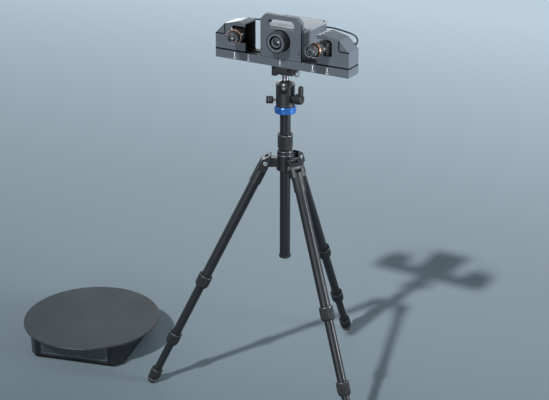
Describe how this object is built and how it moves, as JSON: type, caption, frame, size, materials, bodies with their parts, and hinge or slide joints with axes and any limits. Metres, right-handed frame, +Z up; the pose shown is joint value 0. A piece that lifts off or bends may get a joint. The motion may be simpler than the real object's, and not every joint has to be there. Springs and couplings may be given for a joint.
{
  "type": "desktop 3d scanner",
  "caption": "Two-camera structured-light scanner head with a carry handle on a ball head and telescoping tripod, with a motor turntable standing beside it.",
  "frame": {"origin": "middle of the whole set's footprint, on the floor", "axes": "+Z up, the scanner head looks along -Y, and +X runs along its rail to the right as seen from the front"},
  "size_m": [1.1566, 0.6592, 1.0613],
  "materials": {
    "casting_black": "fine textured black paint on cast alloy",
    "tube_black": "dark grey anodised tube",
    "grip_rubber": "matte ribbed rubber",
    "pin_steel": "polished pin caps",
    "ring_blue": "blue anodised, satin",
    "ball_metal": "hard anodised ball",
    "stem_alloy": "machined satin alloy",
    "clamp_black": "black anodised",
    "knob_steel": "knurled steel",
    "head_paint": "dark blue-grey powder coat",
    "camera_black": "black anodised",
    "lens_black": "black anodised lens barrel",
    "ring_copper": "copper-coloured ring",
    "case_paint": "grey satin paint on sheet",
    "lid_paint": "light grey satin paint on sheet",
    "engine_black": "matte moulding",
    "cable_black": "black cable jacket",
    "disc_black": "matte dark grey top",
    "gear_nylon": "natural nylon",
    "base_black": "glossy dark moulding",
    "motor_steel": "stacked motor steel",
    "pinion_brass": "machined brass"
  },
  "bodies": {
    "tripod_apex": {"apex": "casting_black", "leg_pins": "pin_steel"},
    "left_leg_top": {"left_leg_shoulder": "casting_black", "left_leg_tube_1": "tube_black"},
    "left_leg_second": {"left_leg_tube_2": "tube_black"},
    "left_leg_third": {"left_leg_tube_3": "tube_black"},
    "left_leg_low": {"left_leg_tip": "grip_rubber"},
    "left_leg_lock_1": {"left_leg_collar_1": "grip_rubber"},
    "left_leg_lock_2": {"left_leg_collar_2": "grip_rubber"},
    "left_leg_lock_3": {"left_leg_collar_3": "grip_rubber"},
    "front_leg_top": {"front_leg_shoulder": "casting_black", "front_leg_tube_1": "tube_black"},
    "front_leg_second": {"front_leg_tube_2": "tube_black"},
    "front_leg_third": {"front_leg_tube_3": "tube_black"},
    "front_leg_low": {"front_leg_tip": "grip_rubber"},
    "front_leg_lock_1": {"front_leg_collar_1": "grip_rubber"},
    "front_leg_lock_2": {"front_leg_collar_2": "grip_rubber"},
    "front_leg_lock_3": {"front_leg_collar_3": "grip_rubber"},
    "rear_leg_top": {"rear_leg_shoulder": "casting_black", "rear_leg_tube_1": "tube_black"},
    "rear_leg_second": {"rear_leg_tube_2": "tube_black"},
    "rear_leg_third": {"rear_leg_tube_3": "tube_black"},
    "rear_leg_low": {"rear_leg_tip": "grip_rubber"},
    "rear_leg_lock_1": {"rear_leg_collar_1": "grip_rubber"},
    "rear_leg_lock_2": {"rear_leg_collar_2": "grip_rubber"},
    "rear_leg_lock_3": {"rear_leg_collar_3": "grip_rubber"},
    "centre_column": {"column": "tube_black", "column_end_cap": "grip_rubber", "pan_ring": "ring_blue"},
    "column_lock": {"column_collar": "grip_rubber"},
    "pan_body": {"ball_housing": "casting_black"},
    "ball_body": {"ball": "ball_metal"},
    "scanner_head": {"ball_stem": "stem_alloy", "clamp_base": "clamp_black", "quick_release_plate": "clamp_black", "rail": "head_paint", "projector_front_plate": "head_paint", "projector_case": "case_paint", "projector_lid": "lid_paint", "projector_lens": "lens_black", "light_engine": "engine_black", "left_cable": "cable_black", "right_cable": "cable_black"},
    "jaw_body": {"clamp_jaw": "clamp_black"},
    "clamp_knob_body": {"clamp_knob": "knob_steel"},
    "pan_knob_body": {"pan_lock_knob": "grip_rubber"},
    "lock_knob_body": {"ball_lock_knob": "grip_rubber"},
    "left_camera_unit": {"left_camera_cover": "head_paint", "left_camera": "camera_black", "left_lens": "lens_black"},
    "left_focus": {"left_focus_ring": "ring_copper"},
    "right_camera_unit": {"right_camera_cover": "head_paint", "right_camera": "camera_black", "right_lens": "lens_black"},
    "right_focus": {"right_focus_ring": "ring_copper"},
    "turntable": {"turntable_base": "base_black", "turntable_motor": "motor_steel"},
    "platter": {"turntable_disc": "disc_black", "turntable_gear": "gear_nylon"},
    "motor_pinion": {"turntable_pinion": "pinion_brass"}
  },
  "joints": [
    {"name": "left_leg_spread", "type": "hinge", "parent": "tripod_apex", "child": "left_leg_top", "pos_m": [0.19597, -0.084, 0.666], "axis": [-0.5, 0.866, 0], "range_deg": [-26, 0]},
    {"name": "left_leg_extend_1", "type": "slide", "parent": "left_leg_top", "child": "left_leg_second", "axis": [-0.3796, -0.2192, -0.8988], "range_m": [-0.16, 0.07]},
    {"name": "left_leg_extend_2", "type": "slide", "parent": "left_leg_second", "child": "left_leg_third", "axis": [-0.3796, -0.2192, -0.8988], "range_m": [-0.088, 0.115]},
    {"name": "left_leg_extend_3", "type": "slide", "parent": "left_leg_third", "child": "left_leg_low", "axis": [-0.3796, -0.2192, -0.8988], "range_m": [0, 0.18]},
    {"name": "left_leg_twist_1", "type": "hinge", "parent": "left_leg_top", "child": "left_leg_lock_1", "pos_m": [0.19597, -0.084, 0.666], "axis": [-0.3796, -0.2192, -0.8988], "range_deg": [0, 90]},
    {"name": "left_leg_twist_2", "type": "hinge", "parent": "left_leg_second", "child": "left_leg_lock_2", "pos_m": [0.19597, -0.084, 0.666], "axis": [-0.3796, -0.2192, -0.8988], "range_deg": [0, 90]},
    {"name": "left_leg_twist_3", "type": "hinge", "parent": "left_leg_third", "child": "left_leg_lock_3", "pos_m": [0.19597, -0.084, 0.666], "axis": [-0.3796, -0.2192, -0.8988], "range_deg": [0, 90]},
    {"name": "front_leg_spread", "type": "hinge", "parent": "tripod_apex", "child": "front_leg_top", "pos_m": [0.28603, -0.084, 0.666], "axis": [-0.5, -0.866, 0], "range_deg": [-26, 0]},
    {"name": "front_leg_extend_1", "type": "slide", "parent": "front_leg_top", "child": "front_leg_second", "axis": [0.3796, -0.2192, -0.8988], "range_m": [-0.16, 0.07]},
    {"name": "front_leg_extend_2", "type": "slide", "parent": "front_leg_second", "child": "front_leg_third", "axis": [0.3796, -0.2192, -0.8988], "range_m": [-0.088, 0.115]},
    {"name": "front_leg_extend_3", "type": "slide", "parent": "front_leg_third", "child": "front_leg_low", "axis": [0.3796, -0.2192, -0.8988], "range_m": [0, 0.18]},
    {"name": "front_leg_twist_1", "type": "hinge", "parent": "front_leg_top", "child": "front_leg_lock_1", "pos_m": [0.28603, -0.084, 0.666], "axis": [0.3796, -0.2192, -0.8988], "range_deg": [0, 90]},
    {"name": "front_leg_twist_2", "type": "hinge", "parent": "front_leg_second", "child": "front_leg_lock_2", "pos_m": [0.28603, -0.084, 0.666], "axis": [0.3796, -0.2192, -0.8988], "range_deg": [0, 90]},
    {"name": "front_leg_twist_3", "type": "hinge", "parent": "front_leg_third", "child": "front_leg_lock_3", "pos_m": [0.28603, -0.084, 0.666], "axis": [0.3796, -0.2192, -0.8988], "range_deg": [0, 90]},
    {"name": "rear_leg_spread", "type": "hinge", "parent": "tripod_apex", "child": "rear_leg_top", "pos_m": [0.241, -0.006, 0.666], "axis": [1, 0, 0], "range_deg": [-26, 0]},
    {"name": "rear_leg_extend_1", "type": "slide", "parent": "rear_leg_top", "child": "rear_leg_second", "axis": [0, 0.4384, -0.8988], "range_m": [-0.16, 0.07]},
    {"name": "rear_leg_extend_2", "type": "slide", "parent": "rear_leg_second", "child": "rear_leg_third", "axis": [0, 0.4384, -0.8988], "range_m": [-0.088, 0.115]},
    {"name": "rear_leg_extend_3", "type": "slide", "parent": "rear_leg_third", "child": "rear_leg_low", "axis": [0, 0.4384, -0.8988], "range_m": [0, 0.18]},
    {"name": "rear_leg_twist_1", "type": "hinge", "parent": "rear_leg_top", "child": "rear_leg_lock_1", "pos_m": [0.241, -0.006, 0.666], "axis": [0, 0.4384, -0.8988], "range_deg": [0, 90]},
    {"name": "rear_leg_twist_2", "type": "hinge", "parent": "rear_leg_second", "child": "rear_leg_lock_2", "pos_m": [0.241, -0.006, 0.666], "axis": [0, 0.4384, -0.8988], "range_deg": [0, 90]},
    {"name": "rear_leg_twist_3", "type": "hinge", "parent": "rear_leg_third", "child": "rear_leg_lock_3", "pos_m": [0.241, -0.006, 0.666], "axis": [0, 0.4384, -0.8988], "range_deg": [0, 90]},
    {"name": "column_height", "type": "slide", "parent": "tripod_apex", "child": "centre_column", "axis": [0, 0, 1], "range_m": [-0.056, 0.24]},
    {"name": "column_twist", "type": "hinge", "parent": "tripod_apex", "child": "column_lock", "pos_m": [0.241, -0.058, 0.72], "axis": [0, 0, 1], "range_deg": [0, 90]},
    {"name": "pan", "type": "hinge", "parent": "centre_column", "child": "pan_body", "pos_m": [0.241, -0.058, 0.8203], "axis": [0, 0, 1], "continuous": true},
    {"name": "ball_tilt_forward", "type": "hinge", "parent": "pan_body", "child": "ball_body", "pos_m": [0.241, -0.058, 0.868], "axis": [1, 0, 0], "range_deg": [-25, 25]},
    {"name": "ball_tilt_sideways", "type": "hinge", "parent": "ball_body", "child": "scanner_head", "pos_m": [0.241, -0.058, 0.868], "axis": [0, 1, 0], "range_deg": [-20, 20]},
    {"name": "pan_lock_turn", "type": "hinge", "parent": "pan_body", "child": "pan_knob_body", "pos_m": [0.241, -0.058, 0.8353], "axis": [-0.866, -0.5, 0], "range_deg": [0, 360]},
    {"name": "ball_lock_turn", "type": "hinge", "parent": "pan_body", "child": "lock_knob_body", "pos_m": [0.241, -0.058, 0.8423], "axis": [1, 0, 0], "range_deg": [0, 180]},
    {"name": "clamp_jaw_travel", "type": "slide", "parent": "scanner_head", "child": "jaw_body", "axis": [1, 0, 0], "range_m": [0, 0.003]},
    {"name": "clamp_knob_turn", "type": "hinge", "parent": "jaw_body", "child": "clamp_knob_body", "pos_m": [0.271, -0.058, 0.91], "axis": [1, 0, 0], "range_deg": [0, 1080]},
    {"name": "left_camera_slide", "type": "slide", "parent": "scanner_head", "child": "left_camera_unit", "axis": [1, 0, 0], "range_m": [0, 0.041], "deforming": ["left_cable"]},
    {"name": "left_focus_turn", "type": "hinge", "parent": "left_camera_unit", "child": "left_focus", "pos_m": [0.13, -0.137, 0.9978], "axis": [0.2924, -0.9563, 0], "range_deg": [-60, 60]},
    {"name": "right_camera_slide", "type": "slide", "parent": "scanner_head", "child": "right_camera_unit", "axis": [-1, 0, 0], "range_m": [0, 0.041], "deforming": ["right_cable"]},
    {"name": "right_focus_turn", "type": "hinge", "parent": "right_camera_unit", "child": "right_focus", "pos_m": [0.352, -0.137, 0.9978], "axis": [-0.2924, -0.9563, 0], "range_deg": [-60, 60]},
    {"name": "turntable_place", "type": "slide", "parent": "tripod_apex", "child": "turntable", "axis": [1, 0, 0], "range_m": [-0.15, 0.05]},
    {"name": "platter_spin", "type": "hinge", "parent": "turntable", "child": "platter", "pos_m": [-0.38, -0.132, 0.0715], "axis": [0, 0, 1], "continuous": true},
    {"name": "pinion_spin", "type": "hinge", "parent": "turntable", "child": "motor_pinion", "pos_m": [-0.3079, -0.11133, 0.04], "axis": [0, 0, 1], "continuous": true}
  ],
  "couplings": [
    {"joint": "clamp_knob_turn", "follows": "clamp_jaw_travel", "rad_per_m": 6283.2},
    {"joint": "pinion_spin", "follows": "platter_spin", "ratio": -4}
  ]
}
